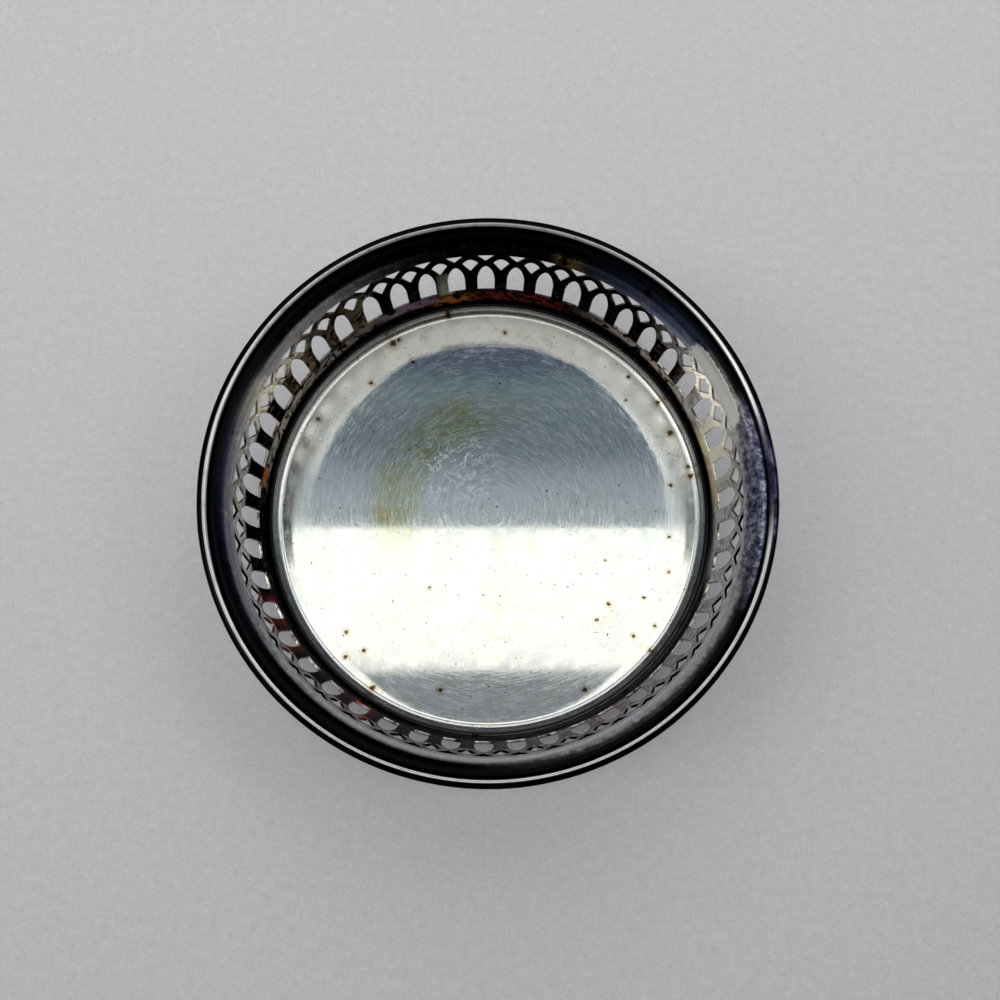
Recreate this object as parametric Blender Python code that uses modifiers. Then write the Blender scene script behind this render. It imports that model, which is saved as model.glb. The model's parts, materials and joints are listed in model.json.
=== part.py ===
"""Wine bottle coaster in silver plate.

A pierced and flared gallery stands round a pressed floor pan. A drawn wire finishes the rim and
another the foot. A turned wooden disc is pinned under the pan, with a baize pad below it.
Metres, +Z up. The origin is the centre of the underside, on the table.
"""

import math

import bmesh
import bpy
from mathutils import Matrix, Vector

# Stack from the table up
BAIZE_THICKNESS = 0.0012
DISC_THICKNESS = 0.0040
PAN_SHEET = 0.0006
SEAT_GAP = 0.0003

# Gallery wall
SKIRT_INNER_DIAMETER = 0.1111
GALLERY_SHEET = 0.00065
SKIRT_LIFT = 0.0006
SILL_HEIGHT = 0.0093
PIERCED_HEIGHT = 0.0156
WALL_LEAN = math.radians(4.3)

# Rim: the wire's centre stands above the floor, and the lip runs under the wire
RIM_HEIGHT = 0.0320
RIM_OVERHANG = 0.00695
RIM_WIRE_DIAMETER = 0.0026
FLARE_RADIUS = 0.0046
LIP_ANGLE = math.radians(75)
LIP_RUN = 0.0004

# Floor pan: its turned-up edge is as high as the upright part of the wall
PAN_COVE_RADIUS = 0.0018
PAN_EDGE_HEIGHT = 0.0030

# Foot wire
FOOT_WIRE_DIAMETER = 0.0018
FOOT_LIFT = 0.0004

# Wooden disc and baize
DISC_EDGE_ROUND = 0.0004
BAIZE_INSET = 0.0008

# Pins through the skirt into the disc
PIN_COUNT = 8
PIN_DIAMETER = 0.0012
PIN_LENGTH = 0.0055
PIN_HEAD_DIAMETER = 0.0018
PIN_HEAD_HEIGHT = 0.0006
PIN_POINT_LENGTH = 0.0010
PIN_CROWN_SHARE = 0.5

# Tracery: the strip's seam is one wider pier
BAY_COUNT = 47
SEAM_AZIMUTH = math.radians(126.7)
SEAM_EXTRA_WIDTH = 0.0010
CUT_OVERRUN = 0.0015

# Outlines within one bay: across as a share of the bay, up as a share of the pierced height
WINDOW_HALF_WIDTH_SHARE = 0.290
WINDOW_SPRING_SHARE = 0.330
WINDOW_TOP_SHARE = 0.709
WINDOW_ROUNDNESS = 1.8
FAN_SHARES = ((0.0, 0.549), (0.160, 0.641), (0.290, 0.757), (0.160, 0.848), (0.0, 0.894))
TRIANGLE_SHARES = ((0.0, 0.806), (0.150, 0.889), (0.340, 1.0))

# Fineness of the facets
WALL_STEPS = 72
RING_STEPS = 72
WIRE_STEPS = 12
FOOT_STEPS = 8
FLARE_STEPS = 4
COVE_STEPS = 4
ARCH_STEPS = 3
PIN_STEPS = 8
MERGE = 0.00001
SMOOTH_ANGLE = math.radians(35)

# Levels and radii that follow
DISC_BOTTOM = BAIZE_THICKNESS + SEAT_GAP
DISC_TOP = DISC_BOTTOM + DISC_THICKNESS
PAN_BOTTOM = DISC_TOP + SEAT_GAP
FLOOR_Z = PAN_BOTTOM + PAN_SHEET
PAN_EDGE_Z = FLOOR_Z + PAN_EDGE_HEIGHT
SILL_Z = FLOOR_Z + SILL_HEIGHT
SKIRT_INNER = SKIRT_INNER_DIAMETER / 2
SKIRT_OUTER = SKIRT_INNER + GALLERY_SHEET
SILL_RADIUS = SKIRT_INNER + (SILL_Z - PAN_EDGE_Z) * math.tan(WALL_LEAN)
WIRE_RADIUS = RIM_WIRE_DIAMETER / 2
WIRE_PATH_RADIUS = SKIRT_INNER + RIM_OVERHANG - WIRE_RADIUS
WIRE_Z = FLOOR_Z + RIM_HEIGHT
DISC_RADIUS = SKIRT_INNER - SEAT_GAP
PIN_Z = DISC_BOTTOM + DISC_THICKNESS / 2
PIN_HEAD_SEAT = SKIRT_OUTER + SEAT_GAP
PIN_TIP = PIN_HEAD_SEAT - PIN_LENGTH


def clear_scene():
    for item in list(bpy.data.objects):
        bpy.data.objects.remove(item, do_unlink=True)


def new_collection(name):
    group = bpy.data.collections.new(name)
    bpy.context.scene.collection.children.link(group)
    return group


def put_in(item, group):
    for old in list(item.users_collection):
        old.objects.unlink(item)
    group.objects.link(item)
    return item


def metal_or_other(name, colour, roughness, metallic):
    material = bpy.data.materials.new(name)
    material.use_nodes = True
    shader = material.node_tree.nodes["Principled BSDF"]
    shader.inputs["Base Color"].default_value = (*colour, 1)
    shader.inputs["Roughness"].default_value = roughness
    shader.inputs["Metallic"].default_value = metallic
    return material


def finish(item, material):
    """Give the piece its material, and shade its round faces smooth and its edges sharp."""
    item.data.materials.clear()
    item.data.materials.append(material)
    item.data.shade_smooth()
    item.data.set_sharp_from_angle(angle=SMOOTH_ANGLE)
    return item


def bake(item):
    """Replace the object's mesh by the mesh that its modifiers make."""
    bpy.context.view_layer.update()
    seen = item.evaluated_get(bpy.context.evaluated_depsgraph_get())
    made = bpy.data.meshes.new_from_object(seen)
    item.modifiers.clear()
    item.data = made
    return item


def turned(name, profile, steps, group):
    """Revolve a profile of (radius, height) points about Z."""
    mesh = bpy.data.meshes.new(name)
    edges = [(i, i + 1) for i in range(len(profile) - 1)]
    mesh.from_pydata([(radius, 0, height) for radius, height in profile], edges, [])
    item = bpy.data.objects.new(name, mesh)
    group.objects.link(item)
    screw = item.modifiers.new("revolve", "SCREW")
    screw.axis = "Z"
    screw.angle = math.tau
    screw.steps = steps
    screw.render_steps = steps
    screw.use_merge_vertices = True
    screw.merge_threshold = MERGE
    return item


def ring_wire(name, path_radius, wire_radius, height, wire_steps, group):
    bpy.ops.mesh.primitive_torus_add(
        major_radius=path_radius, minor_radius=wire_radius, location=(0, 0, height),
        major_segments=RING_STEPS, minor_segments=wire_steps)
    item = bpy.context.object
    item.name = name
    return put_in(item, group)


def cylinder(name, radius, bottom, top, steps, group):
    bpy.ops.mesh.primitive_cylinder_add(
        vertices=steps, radius=radius, depth=top - bottom, location=(0, 0, (bottom + top) / 2))
    item = bpy.context.object
    item.name = name
    return put_in(item, group)


def cut(item, cutter):
    boolean = item.modifiers.new("cut_" + cutter.name, "BOOLEAN")
    boolean.operation = "DIFFERENCE"
    boolean.solver = "EXACT"
    boolean.object = cutter


def rounded_corner(corner, before, after, radius, steps):
    """Points of an arc that rounds a corner between two unit directions of travel."""
    turn = before.angle(after)
    reach = radius * math.tan(turn / 2)
    start = corner - before * reach
    inward = (after - before).normalized()
    centre = corner + inward * (radius / math.cos(turn / 2))
    first = start - centre
    side = -1 if before.x * after.y - before.y * after.x < 0 else 1
    points = []
    for i in range(steps + 1):
        spin = Matrix.Rotation(side * turn * i / steps, 2)
        points.append(centre + spin @ first)
    return points


def wall_profile():
    """Inner face of the gallery sheet, from the lip down to the foot, as (radius, height)."""
    up_wall = Vector((math.sin(WALL_LEAN), math.cos(WALL_LEAN)))
    up_lip = Vector((math.sin(LIP_ANGLE), math.cos(LIP_ANGLE)))
    under_wire = Vector((math.cos(LIP_ANGLE), -math.sin(LIP_ANGLE)))
    bend = Vector((SKIRT_INNER, PAN_EDGE_Z))
    wire_centre = Vector((WIRE_PATH_RADIUS, WIRE_Z))
    seat = wire_centre + under_wire * (WIRE_RADIUS + SEAT_GAP)
    gap = seat - bend
    climb = (gap.x * up_lip.y - gap.y * up_lip.x) / (up_wall.x * up_lip.y - up_wall.y * up_lip.x)
    corner = bend + up_wall * climb
    flare = rounded_corner(corner, up_wall, up_lip, FLARE_RADIUS, FLARE_STEPS)
    lip_end = seat + up_lip * LIP_RUN
    foot = Vector((SKIRT_INNER, SKIRT_LIFT))
    return [tuple(point) for point in (lip_end, *reversed(flare), bend, foot)]


def mirrored_outline(right_half):
    """Close a half outline, listed from its foot to its top, about the line x = 0."""
    left_half = [(-x, y) for x, y in reversed(right_half) if x > 0]
    return list(right_half) + left_half


def window_shares():
    """Flat sill, straight jambs and a rounded, slightly pointed head."""
    half = WINDOW_HALF_WIDTH_SHARE
    rise = WINDOW_TOP_SHARE - WINDOW_SPRING_SHARE
    power = 2 / WINDOW_ROUNDNESS
    points = [(half, 0)]
    for i in range(ARCH_STEPS + 1):
        turn = math.pi / 2 * i / ARCH_STEPS
        across = half * math.cos(turn) ** power if i < ARCH_STEPS else 0
        points.append((across, WINDOW_SPRING_SHARE + rise * math.sin(turn) ** power))
    return mirrored_outline(points)


def outline_prism(shares, bay_width, depth):
    """A closed prism from a flat outline: local X across the bay, Y up, Z through the sheet."""
    curve = bpy.data.curves.new("outline", "CURVE")
    curve.dimensions = "2D"
    curve.fill_mode = "BOTH"
    curve.extrude = depth / 2
    spline = curve.splines.new("POLY")
    spline.points.add(len(shares) - 1)
    for point, (across, up) in zip(spline.points, shares):
        point.co = (across * bay_width, up * PIERCED_HEIGHT, 0, 1)
    spline.use_cyclic_u = True
    item = bpy.data.objects.new("outline", curve)
    bpy.context.scene.collection.objects.link(item)
    bpy.context.view_layer.update()
    mesh = bpy.data.meshes.new_from_object(item.evaluated_get(bpy.context.evaluated_depsgraph_get()))
    bpy.data.objects.remove(item, do_unlink=True)
    solid = bmesh.new()
    solid.from_mesh(mesh)
    bmesh.ops.remove_doubles(solid, verts=solid.verts, dist=MERGE)
    bmesh.ops.recalc_face_normals(solid, faces=solid.faces)
    solid.to_mesh(mesh)
    solid.free()
    return mesh


def facing_out(azimuth, radius, height):
    """Place local X along the wall, Y up and Z outwards, at a radius and an azimuth."""
    outward = Vector((math.cos(azimuth), math.sin(azimuth), 0))
    along = Vector((-math.sin(azimuth), math.cos(azimuth), 0))
    place = Matrix((along, Vector((0, 0, 1)), outward)).transposed().to_4x4()
    place.translation = outward * radius + Vector((0, 0, height))
    return place


def joined(name, copies, group):
    """One object holding a copy of each mesh at each of its places."""
    whole = bmesh.new()
    for mesh, places in copies:
        for place in places:
            part = mesh.copy()
            part.transform(place)
            whole.from_mesh(part)
            bpy.data.meshes.remove(part)
    result = bpy.data.meshes.new(name)
    whole.to_mesh(result)
    whole.free()
    item = bpy.data.objects.new(name, result)
    group.objects.link(item)
    return item


def as_cutter(item):
    item.hide_render = True
    item.display_type = "WIRE"
    return item


def tracery_cutter(cutters):
    """Window and triangle in the middle of each bay, and a fan over each pier."""
    mid_radius = SKIRT_INNER + GALLERY_SHEET / 2
    seam_angle = SEAM_EXTRA_WIDTH / mid_radius
    bay_angle = (math.tau - seam_angle) / BAY_COUNT
    bay_width = bay_angle * mid_radius
    wall_top = SILL_RADIUS + PIERCED_HEIGHT * math.tan(WALL_LEAN) + GALLERY_SHEET
    depth = wall_top - SILL_RADIUS + CUT_OVERRUN * 2
    cut_radius = (SILL_RADIUS + wall_top) / 2
    first = SEAM_AZIMUTH + seam_angle / 2
    bays = [facing_out(first + bay_angle * (k + 1 / 2), cut_radius, SILL_Z) for k in range(BAY_COUNT)]
    piers = [facing_out(first + bay_angle * k, cut_radius, SILL_Z) for k in range(1, BAY_COUNT)]
    piers.append(facing_out(SEAM_AZIMUTH, cut_radius, SILL_Z))
    window = outline_prism(window_shares(), bay_width, depth)
    triangle = outline_prism(mirrored_outline(TRIANGLE_SHARES), bay_width, depth)
    fan = outline_prism(mirrored_outline(FAN_SHARES), bay_width, depth)
    return as_cutter(joined("cutter_tracery", [(window, bays), (triangle, bays), (fan, piers)], cutters))


def pin_places():
    return [facing_out(math.tau * (k + 1 / 2) / PIN_COUNT, 0, PIN_Z) for k in range(PIN_COUNT)]


def pin_hole_cutter(cutters):
    """One clearance hole for each pin, through the skirt and as far as its tip in the disc."""
    deep_end = PIN_TIP - SEAT_GAP
    far_end = SKIRT_OUTER + CUT_OVERRUN
    bar = cylinder("pin_hole", PIN_DIAMETER / 2 + SEAT_GAP, deep_end, far_end, PIN_STEPS, cutters)
    bar.data.transform(Matrix.Translation(bar.location))
    bar.location = (0, 0, 0)
    holes = as_cutter(joined("cutter_pin_holes", [(bar.data, pin_places())], cutters))
    bpy.data.objects.remove(bar, do_unlink=True)
    return holes


def make_gallery(parts, tracery, pin_holes):
    item = turned("gallery", wall_profile(), WALL_STEPS, parts)
    shell = item.modifiers.new("sheet", "SOLIDIFY")
    shell.thickness = GALLERY_SHEET
    shell.offset = 1
    shell.use_even_offset = True
    cut(item, tracery)
    cut(item, pin_holes)
    return finish(bake(item), metal_or_other("tarnished_silver", (0.09, 0.08, 0.10), 0.28, 1.0))


def make_rim_wire(parts):
    item = ring_wire("rim_wire", WIRE_PATH_RADIUS, WIRE_RADIUS, WIRE_Z, WIRE_STEPS, parts)
    return finish(item, metal_or_other("rim_silver", (0.34, 0.32, 0.36), 0.22, 1.0))


def make_floor_pan(parts):
    """Flat floor, a coved corner and a short turned-up edge inside the skirt."""
    edge_outer = SKIRT_INNER - SEAT_GAP
    edge_inner = edge_outer - PAN_SHEET
    outward = Vector((1, 0))
    upward = Vector((0, 1))
    inside = rounded_corner(Vector((edge_inner, FLOOR_Z)), outward, upward, PAN_COVE_RADIUS, COVE_STEPS)
    under = rounded_corner(
        Vector((edge_outer, PAN_BOTTOM)), outward, upward, PAN_COVE_RADIUS + PAN_SHEET, COVE_STEPS)
    profile = [(0, FLOOR_Z), *[tuple(point) for point in inside], (edge_inner, PAN_EDGE_Z),
               (edge_outer, PAN_EDGE_Z), *[tuple(point) for point in reversed(under)], (0, PAN_BOTTOM)]
    item = turned("floor_pan", profile, RING_STEPS, parts)
    return finish(bake(item), metal_or_other("polished_silver", (0.80, 0.79, 0.75), 0.12, 1.0))


def make_foot_wire(parts):
    radius = FOOT_WIRE_DIAMETER / 2
    item = ring_wire(
        "foot_wire", SKIRT_OUTER + SEAT_GAP + radius, radius, FOOT_LIFT + radius, FOOT_STEPS, parts)
    return finish(item, metal_or_other("foot_silver", (0.22, 0.20, 0.22), 0.26, 1.0))


def make_base_disc(parts, pin_holes):
    item = cylinder("base_disc", DISC_RADIUS, DISC_BOTTOM, DISC_TOP, RING_STEPS, parts)
    soften = item.modifiers.new("eased_edge", "BEVEL")
    soften.width = DISC_EDGE_ROUND
    soften.segments = 2
    soften.limit_method = "ANGLE"
    cut(item, pin_holes)
    return finish(bake(item), metal_or_other("turned_wood", (0.15, 0.06, 0.03), 0.45, 0.0))


def make_baize_pad(parts):
    item = cylinder("baize_pad", DISC_RADIUS - BAIZE_INSET, 0, BAIZE_THICKNESS, RING_STEPS, parts)
    return finish(item, metal_or_other("green_baize", (0.03, 0.12, 0.06), 0.95, 0.0))


def make_base_pins(parts):
    """Round-headed brass pins: the head outside the skirt, the point inside the disc."""
    shank = PIN_DIAMETER / 2
    head = PIN_HEAD_DIAMETER / 2
    crown = PIN_HEAD_SEAT + PIN_HEAD_HEIGHT
    profile = [(0, crown), (head * PIN_CROWN_SHARE, crown), (head, PIN_HEAD_SEAT), (shank, PIN_HEAD_SEAT),
               (shank, PIN_TIP + PIN_POINT_LENGTH), (0, PIN_TIP)]
    pins = [bake(turned("base_pin_1", profile, PIN_STEPS, parts))]
    finish(pins[0], metal_or_other("pin_brass", (0.62, 0.45, 0.18), 0.30, 1.0))
    for number in range(2, PIN_COUNT + 1):
        pins.append(bpy.data.objects.new(f"base_pin_{number}", pins[0].data))
        parts.objects.link(pins[-1])
    for pin, place in zip(pins, pin_places()):
        pin.matrix_world = place
    return pins


def main():
    clear_scene()
    parts = new_collection("wine_bottle_coaster")
    cutters = new_collection("cutters")
    tracery = tracery_cutter(cutters)
    pin_holes = pin_hole_cutter(cutters)
    made = [make_gallery(parts, tracery, pin_holes), make_rim_wire(parts), make_floor_pan(parts),
            make_foot_wire(parts), make_base_disc(parts, pin_holes), make_baize_pad(parts),
            *make_base_pins(parts)]
    for item in made:
        item.data.calc_loop_triangles()
        print(item.name, len(item.data.loop_triangles), "triangles")
    print("height over the rim", round(WIRE_Z + WIRE_RADIUS, 5))


main()
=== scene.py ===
# %% [markdown]
# # A wine bottle coaster in silver plate
#
# The coaster is a ring of pierced sheet metal standing round a polished floor. The frame gives every
# solid at its real size. This lesson remakes each one finely enough to be looked at closely, and then
# gives it the finish that years of tarnish and wiping have left.

# %% Load the frame and read its sizes
import json
import math

import bmesh
import bpy
from mathutils import Matrix, Vector


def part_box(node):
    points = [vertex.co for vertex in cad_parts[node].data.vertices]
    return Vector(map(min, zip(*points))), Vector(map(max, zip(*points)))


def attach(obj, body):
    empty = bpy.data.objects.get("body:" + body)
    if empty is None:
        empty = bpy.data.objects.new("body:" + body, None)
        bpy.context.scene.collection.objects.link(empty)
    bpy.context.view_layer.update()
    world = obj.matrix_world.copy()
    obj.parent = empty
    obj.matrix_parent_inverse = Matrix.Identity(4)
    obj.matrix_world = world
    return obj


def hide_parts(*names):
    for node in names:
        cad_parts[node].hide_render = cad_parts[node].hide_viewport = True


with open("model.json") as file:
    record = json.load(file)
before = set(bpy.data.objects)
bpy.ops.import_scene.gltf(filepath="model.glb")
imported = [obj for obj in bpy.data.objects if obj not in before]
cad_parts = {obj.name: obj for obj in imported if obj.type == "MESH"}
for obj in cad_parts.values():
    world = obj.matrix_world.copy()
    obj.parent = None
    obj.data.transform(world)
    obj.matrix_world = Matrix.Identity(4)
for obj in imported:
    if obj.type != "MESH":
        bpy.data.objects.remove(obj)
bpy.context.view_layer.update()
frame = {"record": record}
MM = 0.001
mounts = {mount["name"]: mount for mount in frame["record"]["mounts"]}
FLOOR_TOP = mounts["bottle_seat"]["pos_m"][2]
GALLERY_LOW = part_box("gallery")[0]
WIRE_LOW, WIRE_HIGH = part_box("rim_wire")
PAN_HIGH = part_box("floor_pan")[1]
FOOT_LOW, FOOT_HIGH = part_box("foot_wire")
DISC_LOW, DISC_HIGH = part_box("base_disc")
BAIZE_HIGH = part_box("baize_pad")[1]
print("over the rim", round(WIRE_HIGH[0] / MM, 2), "mm radius, floor at", round(FLOOR_TOP / MM, 2), "mm")

# %% [markdown]
# ## Small helpers
#
# An operator acts on whatever is selected, and a new primitive is selected by itself. These helpers
# select one object, run steps in edit mode on the faces or edges that a test picks, and apply a modifier.


# %% Helpers for selecting, editing and applying
def select_only(*objects):
    bpy.ops.object.select_all(action="DESELECT")
    for item in objects:
        item.select_set(True)
    bpy.context.view_layer.objects.active = objects[0]


def added(name):
    """The object that was just added, with its name."""
    item = bpy.context.object
    item.name = item.data.name = name
    return item


def outward(turn):
    return Vector((math.cos(turn), math.sin(turn), 0))


def place_in_mesh(item):
    """Put the object's place, turn and scale into its mesh, so that the object is at the origin."""
    select_only(item)
    bpy.ops.object.transform_apply(location=True, rotation=True, scale=True)
    return item


def edit(item, part, test):
    """Go into edit mode with only the faces or edges picked by the test selected."""
    select_only(item)
    bpy.ops.object.mode_set(mode="EDIT")
    bpy.ops.mesh.select_mode(type={"faces": "FACE", "edges": "EDGE", "verts": "VERT"}[part])
    bpy.ops.mesh.select_all(action="DESELECT")
    shape = bmesh.from_edit_mesh(item.data)
    for piece in getattr(shape, part):
        if test(piece):
            piece.select_set(True)
    shape.select_flush_mode()
    bmesh.update_edit_mesh(item.data)


def leave_edit():
    bpy.ops.object.mode_set(mode="OBJECT")


def apply(item, kind, **settings):
    select_only(item)
    modifier = item.modifiers.new(kind.lower(), kind)
    for setting, value in settings.items():
        setattr(modifier, setting, value)
    bpy.ops.object.modifier_apply(modifier=modifier.name)
    return item


def smooth(item, degrees=35):
    select_only(item)
    bpy.ops.object.shade_smooth_by_angle(angle=math.radians(degrees))
    return item


def triangles(item):
    item.data.calc_loop_triangles()
    return len(item.data.loop_triangles)


# %% [markdown]
# ## The gallery: one bay, pierced flat
#
# The real gallery is a strip of sheet, pierced while it is flat and rolled up afterwards. It is made
# the same way here. Only half a bay is cut: from the middle of a window to the middle of a pier. The
# rest is its mirror image and its copies, so every border meets the next one exactly.

# %% Sizes of the sheet and of its openings
SHEET = 0.65 * MM
SKIRT_INNER = 55.55 * MM
WALL_LEAN = math.radians(4.3)
BEND_Z = PAN_HIGH[2]
FLARE_RADIUS = 4.6 * MM
LIP_ANGLE = math.radians(75)
LIP_RUN = 0.4 * MM
SEAT_GAP = 0.3 * MM
BAY_COUNT = 47
SEAM_AZIMUTH = math.radians(126.7)
SEAM_EXTRA = 1.0 * MM
PIERCED = 15.6 * MM / math.cos(WALL_LEAN)
SILL_ABOVE_BEND = 6.3 * MM / math.cos(WALL_LEAN)

MID_RADIUS = SKIRT_INNER + SHEET / 2
SEAM_ANGLE = SEAM_EXTRA / MID_RADIUS
BAY_ANGLE = (math.tau - SEAM_ANGLE) / BAY_COUNT
BAY = BAY_ANGLE * MID_RADIUS
WIRE_RADIUS = (WIRE_HIGH[2] - WIRE_LOW[2]) / 2
WIRE_PATH = WIRE_HIGH[0] - WIRE_RADIUS
WIRE_Z = WIRE_HIGH[2] - WIRE_RADIUS
FOOT_Z = GALLERY_LOW[2]
print("one bay is", round(BAY / MM, 3), "mm wide")


# %% [markdown]
# The wall's section is a straight skirt, a leaning wall and a flare that runs under the rim wire. Its
# length along the metal says how high the flat strip must be, and where each height ends up after
# forming.


# %% The wall's section, measured along the metal
def slant(lean):
    """Along a sheet that leans outwards and square to it, each as a radius and a level."""
    return Vector((math.sin(lean), math.cos(lean))), Vector((math.cos(lean), -math.sin(lean)))


def wall_section():
    """The points where the section's stretches meet, from the skirt's top to the lip's end."""
    up_wall = slant(WALL_LEAN)[0]
    up_lip, under_wire = slant(LIP_ANGLE)
    bend = Vector((SKIRT_INNER, BEND_Z))
    seat = Vector((WIRE_PATH, WIRE_Z)) + under_wire * (WIRE_RADIUS + SEAT_GAP)
    gap = seat - bend
    climb = (gap.x * up_lip.y - gap.y * up_lip.x) / (up_wall.x * up_lip.y - up_wall.y * up_lip.x)
    corner = bend + up_wall * climb
    reach = FLARE_RADIUS * math.tan((LIP_ANGLE - WALL_LEAN) / 2)
    flare_from = corner - up_wall * reach
    flare_to = corner + up_lip * reach
    lip_end = seat + up_lip * LIP_RUN
    return bend, flare_from, flare_to, lip_end


BEND, FLARE_FROM, FLARE_TO, LIP_END = wall_section()
SKIRT_LENGTH = BEND_Z - FOOT_Z
WALL_LENGTH = (FLARE_FROM - BEND).length
FLARE_LENGTH = FLARE_RADIUS * (LIP_ANGLE - WALL_LEAN)
LIP_LENGTH = (LIP_END - FLARE_TO).length
STRIP_HEIGHT = SKIRT_LENGTH + WALL_LENGTH + FLARE_LENGTH + LIP_LENGTH


def formed(height, depth):
    """Radius and level of a point of the flat strip, at a height and at a depth through the sheet."""
    climb = height - SKIRT_LENGTH
    if climb < 0:
        at, lean = Vector((SKIRT_INNER, BEND_Z + climb)), 0
    elif climb < WALL_LENGTH:
        lean = WALL_LEAN
        at = BEND + slant(lean)[0] * climb
    elif climb < WALL_LENGTH + FLARE_LENGTH:
        lean = WALL_LEAN + (climb - WALL_LENGTH) / FLARE_RADIUS
        at = FLARE_FROM + (slant(WALL_LEAN)[1] - slant(lean)[1]) * FLARE_RADIUS
    else:
        lean = LIP_ANGLE
        run = climb - WALL_LENGTH - FLARE_LENGTH
        at = FLARE_TO + slant(lean)[0] * run
    return at + slant(lean)[1] * depth


print("the flat strip is", round(STRIP_HEIGHT / MM, 2), "mm high")

# %% [markdown]
# Each opening is cut by a punch. A punch starts as a circle of as many corners as its outline needs,
# its corners are set on the outline, and its face is extruded through the sheet. The outlines are
# shares of a bay across, and of the pierced height up.

# %% Outlines of the window, the fan and the triangle
WINDOW_HALF_SHARE = 0.290
WINDOW_SPRING_SHARE = 0.330
WINDOW_TOP_SHARE = 0.709
WINDOW_ROUNDNESS = 1.8
FAN_CORNER_SHARES = ((0.0, 0.543), (0.285, 0.775), (0.0, 0.900))
FAN_SIDE_BOW = 0.0
FAN_TOP_BOW = 0.085
TRIANGLE_CORNER_SHARES = ((0.0, 0.811), (0.343, 1.0))
TRIANGLE_SIDE_BOW = 0.01
ARCH_POINTS = 14
BOW_POINTS = 6
PUNCH_SKIRT = 0.6 * MM
SILL_HEIGHT = SKIRT_LENGTH + SILL_ABOVE_BEND


def bowed(start, end, bow, points):
    """Points from start towards end on a bowed line. A bow of 1 is as deep as the line is long."""
    start, end = Vector(start), Vector(end)
    along = end - start
    side = Vector((along.y, -along.x))
    steps = [i / points for i in range(points)]
    return [tuple(start + along * t + side * bow * math.sin(math.pi * t)) for t in steps]


def window_half():
    rise = WINDOW_TOP_SHARE - WINDOW_SPRING_SHARE
    power = 2 / WINDOW_ROUNDNESS
    points = [(WINDOW_HALF_SHARE, 0)]
    for i in range(ARCH_POINTS):
        turn = math.pi / 2 * i / ARCH_POINTS
        across = WINDOW_HALF_SHARE * math.cos(turn) ** power
        points.append((across, WINDOW_SPRING_SHARE + rise * math.sin(turn) ** power))
    return points + [(0, WINDOW_TOP_SHARE)]


def fan_half():
    bottom, side, top = FAN_CORNER_SHARES
    return bowed(bottom, side, FAN_SIDE_BOW, BOW_POINTS) + bowed(side, top, FAN_TOP_BOW, BOW_POINTS) + [top]


def triangle_half():
    bottom, corner = TRIANGLE_CORNER_SHARES
    return bowed(bottom, corner, TRIANGLE_SIDE_BOW, BOW_POINTS) + [corner]


def whole_outline(half):
    """A closed outline from its right half, listed from the foot up."""
    return list(half) + [(-across, up) for across, up in reversed(half) if across > 0]


print("window", len(whole_outline(window_half())), "points, fan", len(whole_outline(fan_half())))


# %% Make the punches
def punch(name, half, middle_share):
    outline = whole_outline(half)
    bpy.ops.mesh.primitive_circle_add(vertices=len(outline), radius=BAY, fill_type="NGON")
    item = added(name)
    for corner, (across, up) in zip(item.data.vertices, outline):
        corner.co = ((across + middle_share) * BAY, -PUNCH_SKIRT, SILL_HEIGHT + up * PIERCED)
    edit(item, "faces", lambda face: True)
    through = SHEET + PUNCH_SKIRT * 2
    bpy.ops.mesh.extrude_region_move(TRANSFORM_OT_translate={"value": (0, through, 0)})
    bpy.ops.mesh.select_all(action="SELECT")
    bpy.ops.mesh.normals_make_consistent(inside=False)
    leave_edit()
    return item


window_punch = punch("window_punch", window_half(), 0)
triangle_punch = punch("triangle_punch", triangle_half(), 0)
fan_punch = punch("fan_punch", fan_half(), 0.5)

# %% [markdown]
# The blank is a thin box a little wider than half a bay. The punches are taken out of it, and the
# bevel then eases every sawn edge, because a knife-sharp edge would show no highlight. After that the
# blank is bisected at the middle of the window and at the middle of the pier.

# %% Pierce the blank and trim it to half a bay
SAWN_EDGE = 0.07 * MM
SIDE_SPARE_SHARE = 0.45
CLOSE = 1e-7

bpy.ops.mesh.primitive_cube_add(size=1, location=(BAY / 4, SHEET / 2, STRIP_HEIGHT / 2))
strip = added("gallery_pierced")
strip.scale = (BAY * (0.5 + SIDE_SPARE_SHARE * 2), SHEET, STRIP_HEIGHT)
place_in_mesh(strip)
for tool in (window_punch, triangle_punch, fan_punch):
    apply(strip, "BOOLEAN", operation="DIFFERENCE", solver="EXACT", object=tool)
    bpy.data.objects.remove(tool, do_unlink=True)
apply(strip, "BEVEL", width=SAWN_EDGE, segments=2, limit_method="ANGLE", angle_limit=math.radians(30),
      use_clamp_overlap=False)


def bisect_at(item, point, normal, keep_all=False):
    edit(item, "faces", lambda face: True)
    bpy.ops.mesh.bisect(plane_co=point, plane_no=normal, clear_outer=not keep_all, threshold=CLOSE)
    leave_edit()


bisect_at(strip, (0, 0, 0), (-1, 0, 0))
bisect_at(strip, (BAY / 2, 0, 0), (1, 0, 0))
print("half a bay:", triangles(strip), "triangles")

# %% [markdown]
# Flat faces can't bend, so the half bay is divided before it is rolled: upright lines for the roll,
# and level lines where the flare curls. The faces are made triangles first, which any plane divides
# cleanly.

# %% Divide the half bay for bending
COLUMNS = 6
FLARE_ROWS = 14

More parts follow.
